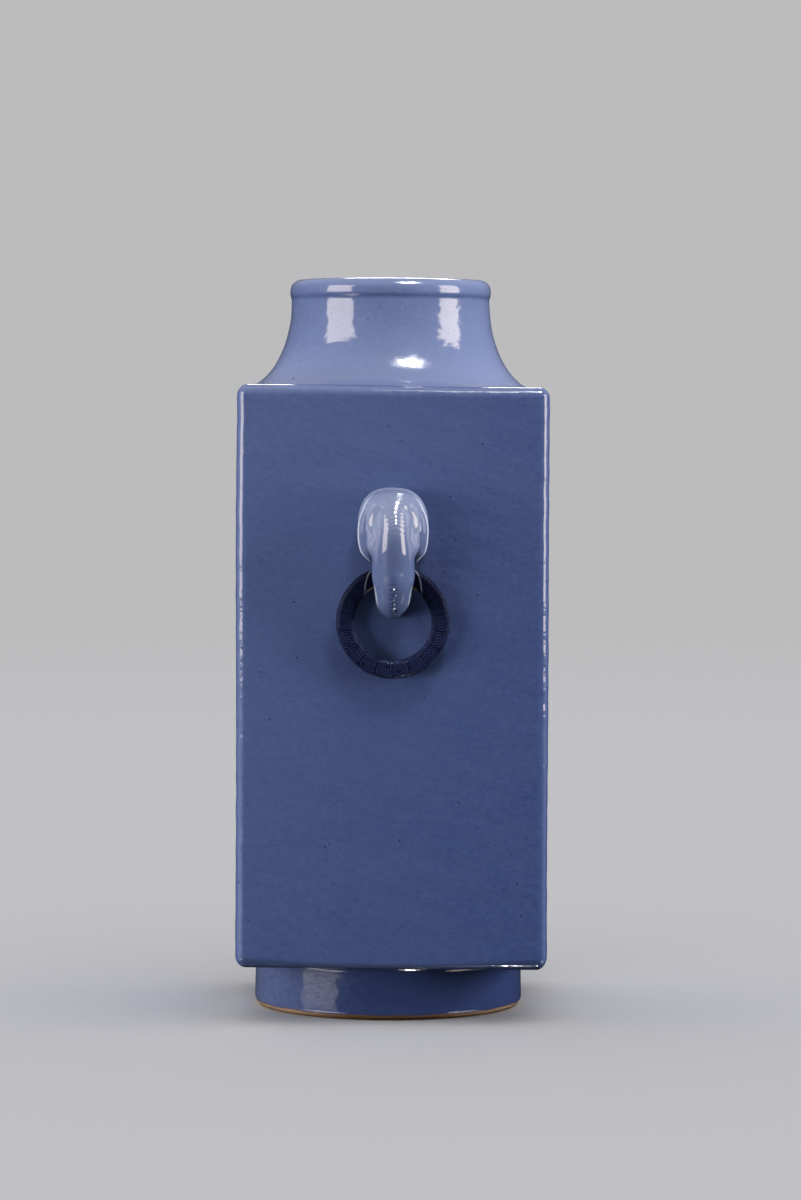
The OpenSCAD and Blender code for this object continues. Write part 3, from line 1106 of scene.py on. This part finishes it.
@dataclass
class Head:
    """Elephant's skull and trunk: sections carried about the ring's pivot from the wall out, down and back.

    A turn is the angle about the pivot: 90 is up, 0 outwards and -90 down. A flank is the angle round a
    section: 0 is its outermost line, and 90 its side. A pair of numbers is where a smooth step starts and
    ends, or the middle and the width of a hump.
    """

    mount: Mount
    eye_r: float = 4.05
    crown_h: float = 32.5
    trunk_reach: float = 20.7
    trunk_drop: float = 16.9
    brow_set: float = 1.17
    skull_w: float = 22.4
    trunk_w: float = 16.6
    tip_w: float = 12.6
    skull_from: float = 58.0
    skull_full: float = 2.5
    full_turns: Span = (40.0, 90.0)
    ridge: float = 1.75
    ridge_turns: Span = (20.0, -10.0)
    keel: float = 0.17
    skull_turns: Span = (48.0, 90.0)
    tip_turns: Span = (30.0, 72.0)
    brow_fold: float = 0.09
    brow_gap: float = 1.7
    brow_low: Span = (38.0, 54.0)
    brow_high: Span = (86.0, 76.0)
    brow_flank: Span = (9.0, 24.0)
    brow_wavers: tuple[tuple[float, float, float], ...] = ((1.3, 11.0, 1.7), (0.9, 5.0, -3.1))
    curl_fold: float = 0.14
    curl_gap: float = 2.1
    curl_turns: Span = (-4.0, -18.0)
    curl_width: float = 13.0
    temple: float = 0.4
    temple_flank: Span = (62.0, 13.0)
    temple_turn: Span = (62.0, 15.0)
    eye_flank: Span = (62.0, 8.0)
    eye_turn: Span = (50.0, 4.0)
    eye_bead: float = 0.3
    eye_bead_width: float = 0.75
    eye_groove: float = 0.25
    eye_groove_ring: Span = (1.35, 0.32)
    lump: float = 0.035
    lump_lengths: Span = (1.9, 4.0)
    fillet: float = 1.7
    fillet_out: float = 10.6
    fillet_heights: Span = (6.0, 11.0)
    fillet_run: float = 2.4
    fillet_spread: float = 1.8
    fillet_crown: float = 4.5
    crown_heights: Span = (25.0, 29.0)
    nick_z: Span = (20.8, 4.6)
    nick_groove: float = 0.14
    nick_width: float = 0.2
    nick_heights: Span = (17.0, 20.0)
    sunk: float = 0.7
    skirt: float = 0.07
    skirt_shares: Span = (0.2, 1.0)
    pooled: float = -0.172
    fold_range: Span = (-0.1, 0.2)
    fold_fade: float = 6.0
    # Painted light: the upper head is paler, as it faces up into the key light.
    brow_pale: float = 0.12
    brow_pale_turns: Span = (30.0, 60.0)
    # Painted shade: a darker stripe down the middle of the lower trunk.
    trunk_pool: float = 0.045
    trunk_pool_width: float = 16.0
    trunk_pool_turns: Span = (12.0, -8.0)
    bared: float = 0.5
    bared_flank: Span = (70.0, 8.0)
    bared_turns: Span = (-20.0, -34.0)
    rimmed: float = 0.4
    rimmed_outs: Span = (-7.0, -5.0)
    rimmed_low: Span = (4.0, 10.0)
    rimmed_high: Span = (31.5, 27.5)
    turn_steps: int = 361
    around_steps: int = 168
    run_steps: int = 8

    def reach(self, turn: Array) -> Array:
        """Distance from the pivot to the head's outermost line at each turn."""
        up = turn > 0.0
        share = eased(np.abs(turn) / 90.0)
        grown = np.where(up, share ** self.brow_set, share)
        far = np.where(up, self.crown_h, self.trunk_drop)
        return mix(self.trunk_reach - self.mount.pivot_out, far, grown)

    def section(self, turn: Array, around: Array) -> tuple[Array, Array]:
        """Section at each turn: a full oval in the skull, and in the trunk an egg, widest near the eye.

        Args:
            turn: Turns, one to a row.
            around: Angles round the section, one to a column.

        Returns:
            Each point's share of the way from the trunk's eye out to the reach, and its place to the side.
        """
        up, lean = turn > 0.0, np.abs(turn)
        flared = np.clip((turn - self.skull_from) / (90.0 - self.skull_from), 0.0, 1.0) ** 2
        end_w = np.where(up, self.skull_w, self.tip_w)
        half_w = mix(self.trunk_w, end_w, np.where(up, flared, eased(lean / 90.0))) / 2.0
        keeled = mix(OVAL, self.ridge, rising(turn, *self.ridge_turns))
        full = np.where(up, mix(keeled, self.skull_full, rising(turn, *self.full_turns)), keeled)
        rounder = np.where(up, rising(lean, *self.skull_turns), rising(lean, *self.tip_turns))
        widest = mix(self.keel, 0.5, rounder)
        outer = np.cos(around) > 0.0
        fuller = np.where(outer, full, OVAL)
        lift = power(np.cos(around), fuller)
        share = np.where(outer, mix(widest, 1.0, lift), mix(widest, 0.0, -lift))
        return share, half_w * power(np.sin(around), fuller)

    def folds(self, turn: Array, flank: Array, along: Array) -> Array:
        """Height of the wrinkles across the brow and down the trunk, spaced along the outermost line."""
        waver = sum(size * np.sin(flank / a + along / b) for size, a, b in self.brow_wavers)
        brow = rising(turn, *self.brow_low) * rising(turn, *self.brow_high) * hump(flank, *self.brow_flank)
        curl = rising(turn, *self.curl_turns) * bell(flank, self.curl_width)
        return (self.brow_fold * brow * np.cos(2.0 * np.pi * along / self.brow_gap + waver)
                + self.curl_fold * curl * np.cos(2.0 * np.pi * along / self.curl_gap))

    def carving(self, turn: Array, flank: Array) -> Array:
        """Height of the hollow temple and of the eye, a bead within a groove, on each side."""
        temple = self.temple * hump(flank, *self.temple_flank) * hump(turn, *self.temple_turn)
        (turn_at, turn_w), (flank_at, flank_w) = self.eye_turn, self.eye_flank
        ringed = np.hypot((turn - turn_at) / turn_w, (flank - flank_at) / flank_w)
        bead = self.eye_bead * bell(ringed, self.eye_bead_width)
        return bead - self.eye_groove * hump(ringed, *self.eye_groove_ring) - temple

    def lumps(self, around: Array, along: Array) -> Array:
        """Height of the low lumps that thumbs leave in soft clay."""
        short, long = self.lump_lengths
        first = np.sin(along / short + 2.0 * np.sin(2.0 * around))
        return self.lump * first * np.sin(3.0 * around + along / long)

    def swell(self, y: Array, z: Array) -> Array:
        """How far the fillet at the wall swells the sides, less the nick beside the temple."""
        nick = hump(z, *self.nick_z)
        spread = self.fillet_spread * (1.0 - nick) + self.fillet_crown * rising(z, *self.crown_heights)
        run = self.fillet_run * (1.0 + spread)
        joint = eased((y + self.fillet_out + run) / run)
        groove = self.nick_groove * hump(joint, 0.5, self.nick_width) * rising(z, *self.nick_heights) * nick
        return self.fillet * joint * rising(z, *self.fillet_heights) - groove

    def thin(self, turn: Array, flank: Array, points: Array, folds: Array) -> Array:
        """How thin the glaze is: more on the folds, the trunk's flanks and along the wall; the paler brow
        is painted light, and the darker middle of the lower trunk is painted shade.
        """
        y, z = points[..., 1], points[..., 2]
        raised = np.clip(folds, *self.fold_range) / self.fold_fade
        # Painted light on the brow, and painted shade down the middle of the lower trunk.
        brow = self.brow_pale * rising(turn, *self.brow_pale_turns)
        pool = self.trunk_pool * bell(flank, self.trunk_pool_width) * rising(turn, *self.trunk_pool_turns)
        bared = self.bared * hump(flank, *self.bared_flank) * rising(turn, *self.bared_turns)
        heights = rising(z, *self.rimmed_low) * rising(z, *self.rimmed_high)
        rimmed = self.rimmed * rising(y, *self.rimmed_outs) * heights
        return self.pooled + raised + brow - pool + bared + rimmed

    def run_back(self, ring: Array) -> Array:
        """Rings that carry an end section straight back into the wall and widen it there like a fillet."""
        shares = np.linspace(1.0, 0.0, self.run_steps + 1)[:-1]
        middle = ring.mean(axis=0)
        grown = 1.0 + self.skirt * rising(shares, *self.skirt_shares)[:, None, None]
        rings = middle + (ring - middle)[None, :, :] * grown
        rings[..., 1] += (self.mount.pivot_out + self.sunk) * shares[:, None]
        return rings

    def build(self) -> None:
        """Builds and dresses the head."""
        turn = np.linspace(90.0, -90.0, self.turn_steps)[:, None]
        around = circle(self.around_steps)[None, :]
        flank = np.degrees(np.arctan2(np.sin(around), np.cos(around)))
        reach = self.reach(turn)
        strides = np.hypot(np.diff(reach, axis=0), math.pi / (self.turn_steps - 1) * reach[1:])
        along = np.vstack([np.zeros((1, 1)), np.cumsum(strides, axis=0)])
        share, x = self.section(turn, around)
        folds = self.folds(turn, flank, along)
        carved = folds + self.carving(turn, np.abs(flank)) + self.lumps(around, along)
        r = mix(self.eye_r, reach, share) + carved
        y, z = -self.mount.pivot_out - r * np.cos(np.radians(turn)), r * np.sin(np.radians(turn))
        rings = np.stack([x + self.swell(y, z) * np.sin(around), y, z], axis=-1)
        thin = self.thin(turn, np.abs(flank), rings, folds)
        plain = np.zeros((self.run_steps, self.around_steps))
        whole = np.concatenate([self.run_back(rings[0]), rings, self.run_back(rings[-1])[::-1]])
        self.mount.place_glazed(self.mount.word + "_elephant_head", whole, Ends.FLAT,
                                np.concatenate([plain, thin, plain]))


@dataclass
class Ear:
    """Ear that lies back along one flank of the skull and flares out to a rounded rim.

    Its flap is carried down an oval. Across, it is an arc whose front edge is sunk in the skull and whose
    rear edge is the rim, on the oval. Both ends of the ear are tucked in to the skull.
    """

    mount: Mount
    word: str
    hand: int
    both_w: float = 28.6
    oval_h: float = 36.6
    mid_h: float = 16.0
    thickness: float = 2.6
    length: float = 12.0
    stand_out: float = 7.6
    bulge: float = 10.8
    front_turn: float = 10.0
    turns: Span = (72.0, -46.0)
    upper: float = 2.2
    lower: float = 4.5
    fullness: float = 2.6
    sag: float = 0.2
    sag_h: float = 3.0
    waist_h: float = 18.0
    tuck_top: float = 2.2
    tuck_top_shares: Span = (0.42, 0.0)
    tuck_low: float = 1.6
    tuck_low_shares: Span = (0.8, 1.0)
    pooled: float = -0.157
    rim_pale: float = 0.7
    rim_shares: Span = (0.66, 0.75)
    steps: int = 130
    around_steps: int = 96

    def build(self) -> None:
        """Builds and dresses the ear."""
        share = np.linspace(0.0, 1.0, self.steps)[:, None]
        turn = np.radians(mix(*self.turns, share))
        ends = np.where(share < 0.5, self.upper, self.lower)
        size = np.sqrt(np.clip(1.0 - np.abs(2.0 * share - 1.0) ** ends, 0.0, 1.0))
        tuck = (self.tuck_top * rising(share, *self.tuck_top_shares)
                + self.tuck_low * rising(share, *self.tuck_low_shares))
        around = circle(self.around_steps)[None, :]
        back = (1.0 - power(np.sin(around), self.fullness)) / 2.0
        inward = (1.0 - power(np.cos(around), self.fullness)) / 2.0
        facing = np.radians(mix(self.front_turn, 90.0, back))
        below = np.clip(self.waist_h - self.mid_h - self.oval_h / 2.0 * np.sin(turn), 0.0, None)
        sag = self.sag * below ** 2 / (below + self.sag_h)
        bulge = size * (self.bulge - self.thickness * inward)
        out = bulge * np.sin(facing) - size * self.bulge - tuck
        x = self.hand * (self.both_w / 2.0 + out) * np.cos(turn)
        y = self.length / 2.0 - self.stand_out - (bulge - sag) * np.cos(facing)
        z = self.mid_h + (self.oval_h / 2.0 + out) * np.sin(turn)
        rings = np.stack(np.broadcast_arrays(x, y, z), axis=-1)
        thin = self.rim_pale * rising(back, *self.rim_shares) * size + self.pooled
        self.mount.place_glazed(f"{self.mount.word}_{self.word}_ear", rings, Ends.POLES, thin)


@dataclass
class Ring:
    """Loose ring, carved with a row of whorls on both faces, with a plain shank in the trunk's eye."""

    mount: Mount
    outer_r: float = 22.0
    band_w: float = 7.2
    band_t: float = 5.0
    rounding: float = 2.0
    whorls: int = 18
    pitch: float = 0.98
    carving: float = 0.12
    border: float = 0.35
    shank_half: float = 36.0
    shank_lean: float = 3.2
    shank_run: float = 2.2
    shank_cut: float = 0.34
    collar: float = 0.22
    collar_at: float = -0.9
    collar_width: float = 1.9
    collar_line: float = 0.35
    # Painted highlight on each collar's crest: its strength and width.
    crest: float = 0.8
    crest_width: float = 1.0
    # Painted shade: the carved lines fade on the ring's upper arms, in the shade of the head.
    faint: float = 0.25
    faint_turns: Span = (50.0, 120.0)
    bore_share: float = 0.36
    bore_run: float = 0.6
    bare_spots: tuple[tuple[float, float, float], ...] = ((1.0, -37.0, 6.0), (0.8, 33.0, 4.0))
    bare_shank: Span = (0.2, 0.7)
    around_steps: int = 800
    face_steps: int = 46
    rim_steps: int = 13
    sliver: float = 1e-3

    @property
    def middle_r(self) -> float:
        """Radius of the middle of the band."""
        return self.outer_r - self.band_w / 2.0

    def section(self) -> tuple[Array, Array, Array]:
        """Rounded section of the band.

        Returns:
            For each point of the closed section: its place across and through the band, its outward
            direction, and its distance from the middle of the nearer face, walked along the section.
        """
        flat_w, flat_t = self.band_w / 2.0 - self.rounding, self.band_t / 2.0 - self.rounding
        quarter = self.rounding * math.pi / 2.0
        face = flat_w + quarter
        edge = face + 2.0 * flat_t + self.sliver
        walk = np.concatenate([np.linspace(-face, face, self.face_steps, endpoint=False),
                               np.linspace(face, edge, self.rim_steps, endpoint=False)])
        walked = np.clip(walk, -face, face)
        angle = np.clip((np.abs(walked) - flat_w) / self.rounding, 0.0, math.pi / 2.0)
        across = np.sign(walked) * (np.minimum(np.abs(walked), flat_w) + self.rounding * np.sin(angle))
        through = flat_t + self.rounding * np.cos(angle) - np.maximum(walk - face, 0.0)
        out = np.stack([np.sign(walked) * np.sin(angle), np.cos(angle)], axis=1)
        front = np.stack([across, through], axis=1)
        points = np.vstack([front, -front])
        return points, np.vstack([out, -out]), np.concatenate([walked, -walked])

    def carve(self, turn: Array, across: Array, face: Array) -> tuple[Array, Array, Array, Array]:
        """Carving at each point of the ring.

        A whorl is a spiral ridge about its middle, and its outermost turns run on as arcs into the corners
        between whorls. The whorls stop at a crescent collar on each side of the plain shank.

        Args:
            turn: Angle round the ring from its top, in degrees, from -180 to 180.
            across: Distance from the middle of the face, towards the ring's outer edge.
            face: 1 on the front face and -1 on the back one.

        Returns:
            The height of the surface over the plain band, and the masks of the carved lines, of the shank
            and of the painted highlight on the crests of the collars.
        """
        spacing = 360.0 / self.whorls
        offset = (turn / spacing - np.floor(turn / spacing) - 0.5) * spacing
        along = np.radians(offset) * self.middle_r
        distance = np.hypot(along, across)
        phase = distance / self.pitch - np.arctan2(across, along * face) / (2.0 * np.pi)
        ridge = (0.5 + 0.5 * np.cos(2.0 * np.pi * phase)) ** 2.0
        line = ridge * eased((self.middle_r * np.radians(spacing / 2.0 - np.abs(offset))) / self.border)
        away = np.abs(turn) - (self.shank_half - self.shank_lean * across)
        carved = eased(away / self.shank_run)
        collar = hump(away, self.collar_at, self.collar_width)
        shank = 1.0 - carved
        height = self.carving * (line - 1.0) * carved - self.shank_cut * shank + self.collar * collar
        crest = self.crest * hump(away, self.collar_at, self.crest_width)
        return height, np.maximum(line * carved, self.collar_line * collar), shank, crest

    def build(self) -> None:
        """Builds and dresses the ring."""
        section, out, walked = self.section()
        turn = np.linspace(-180.0, 180.0, self.around_steps, endpoint=False)[:, None]
        face = np.where(np.arange(len(section)) < len(section) // 2, 1.0, -1.0)
        height, line, shank, worn = self.carve(turn, walked[None, :], face[None, :])
        radius = self.middle_r + section[:, 0] + height * out[:, 0]
        depth = section[:, 1] + height * out[:, 1]
        x, z = radius * np.sin(np.radians(turn)), radius * np.cos(np.radians(turn)) - self.middle_r
        rings = np.stack([x, -self.mount.pivot_out - depth, z], axis=-1)
        inner = eased((-section[:, 0] - self.bore_share * self.band_w) / self.bore_run)[None, :]
        spots = sum(strength * hump(turn, at, width) for strength, at, width in self.bare_spots)
        # The lines fade towards the top as painted shade, and the crest mark is a painted highlight.
        marks = {"relief": line * mix(self.faint, 1.0, rising(np.abs(turn), *self.faint_turns)),
                 "bare": inner * spots * rising(shank, *self.bare_shank), "worn": worn}
        node = self.mount.word + "_ring"
        mesh = tube_mesh("carved_" + node, self.mount.on_vase(rings), Ends.JOINED, marks)
        place(mesh, RING_GLAZE, node, node)


def build_handle(mount: Mount) -> None:
    """Builds an elephant head, its ears and the loose ring that hangs in the curl of its trunk."""
    Head(mount).build()
    words = ("right", "left") if mount.side is Side.FRONT else ("left", "right")
    for word, hand in zip(words, (1, -1)):
        Ear(mount, word, hand).build()
    Ring(mount).build()


@dataclass(frozen=True)
class Softbox:
    """Soft rectangular studio light that faces the vase."""

    name: str
    azimuth: float
    elevation: float
    distance: float
    width: float
    height: float
    power: float
    colour: Colour = (1.0, 1.0, 1.0)
    mirrored: bool = True
    lights_up: bool = True
    round: bool = False
    lit: Lit = Lit.PIECES
    target_z: float = 0.15

    def build(self) -> None:
        """Makes the light, at its angles from the front and above the level, for what it reaches."""
        a, e = math.radians(self.azimuth), math.radians(self.elevation)
        away = Vector((math.sin(a) * math.cos(e), -math.cos(a) * math.cos(e), math.sin(e)))
        light = bpy.data.lights.new(self.name, "AREA")
        light.shape = "ELLIPSE" if self.round else "RECTANGLE"
        light.size, light.size_y = self.width, self.height
        light.energy = self.power
        light.color = self.colour
        lamp = bpy.data.objects.new(self.name, light)
        lamp.location = Vector((0.0, 0.0, self.target_z)) + away * self.distance
        lamp.rotation_euler = away.to_track_quat("Z", "Y").to_euler()
        lamp.visible_glossy = self.mirrored
        lamp.visible_diffuse = self.lights_up
        if self.lit is not Lit.ALL:
            lamp.light_linking.receiver_collection = pieces(self.lit)
        link(lamp)


@dataclass
class Studio:
    """Pale floor that fades into a pale room, soft lights and the camera."""

    floor_r: float = 4.0
    floor_steps: int = 96
    floor_fade: Span = (3.2, 0.9)
    floor_colour: Colour = (0.95, 0.95, 0.96)
    dark_colour: Colour = (0.01, 0.01, 0.012)
    dark_fade: Span = (1.5, 1.1)
    dark_share: float = 0.4
    dark_roughness: float = 0.03
    room_colour: Colour = (0.5, 0.5, 0.51)
    fill: float = 1.5
    ceiling: Span = (-0.05, 0.95)
    camera_distance: float = 1.608
    camera_height: float = 0.2323
    camera_azimuth: float = -1.1
    aim_right: float = 0.154
    pitch: float = 2.5
    roll: float = 0.25
    lens: float = 120.24
    sensor: float = 36.0
    sight: float = 50.0
    lights: list[Softbox] = field(default_factory=lambda: [
        Softbox("key_softbox", 30.0, 62.0, 1.0, 0.23, 0.17, 22.0, lights_up=False, round=True),
        Softbox("key_gleam", 30.0, -68.0, 1.27, 0.16, 0.12, 9.0, lights_up=False, round=True),
        Softbox("key_halo", 30.0, 62.0, 1.02, 0.44, 0.38, 2.0, lights_up=False, round=True),
        Softbox("left_window", -62.0, 15.5, 1.3, 0.75, 0.88, 13.7, (1.0, 0.87, 0.75), lights_up=False,
                lit=Lit.ALL),
        Softbox("right_window", 70.0, 15.5, 1.3, 0.6, 0.88, 13.2, (1.0, 0.87, 0.73), lights_up=False),
        Softbox("left_gleam", -62.0, -34.0, 1.3, 0.75, 0.26, 3.4, (1.0, 0.92, 0.84), lights_up=False,
                lit=Lit.VESSEL),
        Softbox("right_gleam", 70.0, -34.0, 1.3, 0.6, 0.26, 2.7, (1.0, 0.92, 0.84), lights_up=False,
                lit=Lit.VESSEL),
        Softbox("hair_strip", 176.0, 42.0, 1.5, 0.5, 0.25, 6.0, lights_up=False),
        Softbox("key_fill", 26.0, 62.0, 1.0, 0.22, 0.2, 6.1, mirrored=False),
        Softbox("side_fill", -54.0, -2.0, 1.3, 0.65, 0.5, 13.4, mirrored=False),
        Softbox("left_fill", -84.0, 6.0, 1.0, 0.5, 0.6, 8.0, mirrored=False),
        Softbox("right_fill", 78.0, 10.0, 1.2, 0.5, 0.6, 21.0, mirrored=False),
        Softbox("back_fill", 180.0, 35.0, 1.5, 0.9, 0.7, 24.0, mirrored=False),
    ])

    def floor(self) -> None:
        """Makes the floor, a wide pale disc under the foot that lets the room through towards its edge.

        Reflections in the glaze see a smaller disc there instead, which is dark and glossy.
        """
        angles = circle(self.floor_steps)
        points = self.floor_r * np.stack([np.cos(angles), np.sin(angles), np.zeros_like(angles)], axis=1)
        mesh = filled_mesh("floor", points, [np.arange(self.floor_steps)[None, :]], {})
        made = bpy.data.materials.new("floor_paper")
        bench = NodeBench.cleared(made)
        away = bench.add("VectorMath", {"operation": "LENGTH"}, Vector=bench.here()).outputs["Value"]
        pale = bench.add("BsdfPrincipled", Base_Color=self.floor_colour, Roughness=1.0,
                         Specular_IOR_Level=0.0, Alpha=bench.ramp(away, *self.floor_fade))
        dark = bench.add("BsdfPrincipled", Base_Color=self.dark_colour, Roughness=self.dark_roughness,
                         Alpha=bench.times(bench.ramp(away, *self.dark_fade), self.dark_share))
        seen = bench.add("MixShader", Fac=bench.add("LightPath").outputs["Is Glossy Ray"])
        bench.feed(seen.inputs[1], pale.outputs["BSDF"])
        bench.feed(seen.inputs[2], dark.outputs["BSDF"])
        bench.add("OutputMaterial", Surface=seen.outputs["Shader"])
        mesh.materials.append(made)
        disc = bpy.data.objects.new("floor", mesh)
        disc.visible_diffuse = False
        disc.visible_shadow = False
        link(disc)

    def world(self) -> None:
        """Shows the camera a pale room, and lights the vase from its ceiling more than from its walls."""
        made = bpy.data.worlds.new("studio_room")
        bench = NodeBench.cleared(made)
        seen = bench.add("LightPath").outputs["Is Camera Ray"]
        up = bench.add("SeparateXYZ", Vector=bench.add("TexCoord").outputs["Generated"]).outputs["Z"]
        glow = bench.times(bench.ramp(up, *self.ceiling), self.fill)
        strength = bench.add("Mix", {"data_type": "FLOAT"}, Factor=seen, A=glow, B=1.0)
        room = bench.add("Background", Color=self.room_colour, Strength=strength.outputs["Result"])
        bench.add("OutputWorld", Surface=room.outputs["Background"])
        bpy.context.scene.world = made

    def camera(self) -> None:
        """Makes the camera, which looks at the front almost level, from a little to its left."""
        a = math.radians(self.camera_azimuth)
        data = bpy.data.cameras.new("camera")
        data.sensor_width = self.sensor
        data.lens = self.lens
        data.clip_end = self.sight
        camera = bpy.data.objects.new("camera", data)
        heading = Matrix.Rotation(a - math.radians(self.aim_right), 4, "Z")
        tilt = Matrix.Rotation(math.radians(90.0 - self.pitch), 4, "X")
        roll = Matrix.Rotation(math.radians(self.roll), 4, "Z")
        spot = (self.camera_distance * math.sin(a), -self.camera_distance * math.cos(a), self.camera_height)
        camera.matrix_world = Matrix.Translation(spot) @ heading @ tilt @ roll
        link(camera)
        bpy.context.scene.camera = camera

    def build(self) -> None:
        """Builds the whole studio."""
        bpy.context.scene.view_settings.view_transform = "Standard"
        self.camera()
        self.floor()
        self.world()
        for light in self.lights:
            light.build()


def dress_coils() -> None:
    """Gives the coils in the inside seams the inside glaze."""
    for name, node in frame["nodes"].items():
        if "coil" in name:
            for slot in node.material_slots:
                slot.material = INSIDE_GLAZE.material()
            pieces(Lit.PIECES).objects.link(node)
            log.info("%s keeps its packed shape", name)


def main() -> None:
    """Builds the studio and every piece of the vase in order."""
    logging.basicConfig(level=logging.INFO, format="%(name)s: %(message)s")
    Studio().build()
    pivots = tuple(tuple(value / MM for value in joint["pos_m"]) for joint in frame["joints"])
    work = Handwork(half=node_box("right_wall")[1][0], top_z=node_box("neck")[1][2], still_points=pivots)
    Body.from_frame(work).build()
    Neck.from_frame(work).build()
    Foot.from_frame(work).build()
    for side in Side:
        build_handle(Mount.from_frame(side, work))
    dress_coils()


if __name__ == "__main__":
    main()
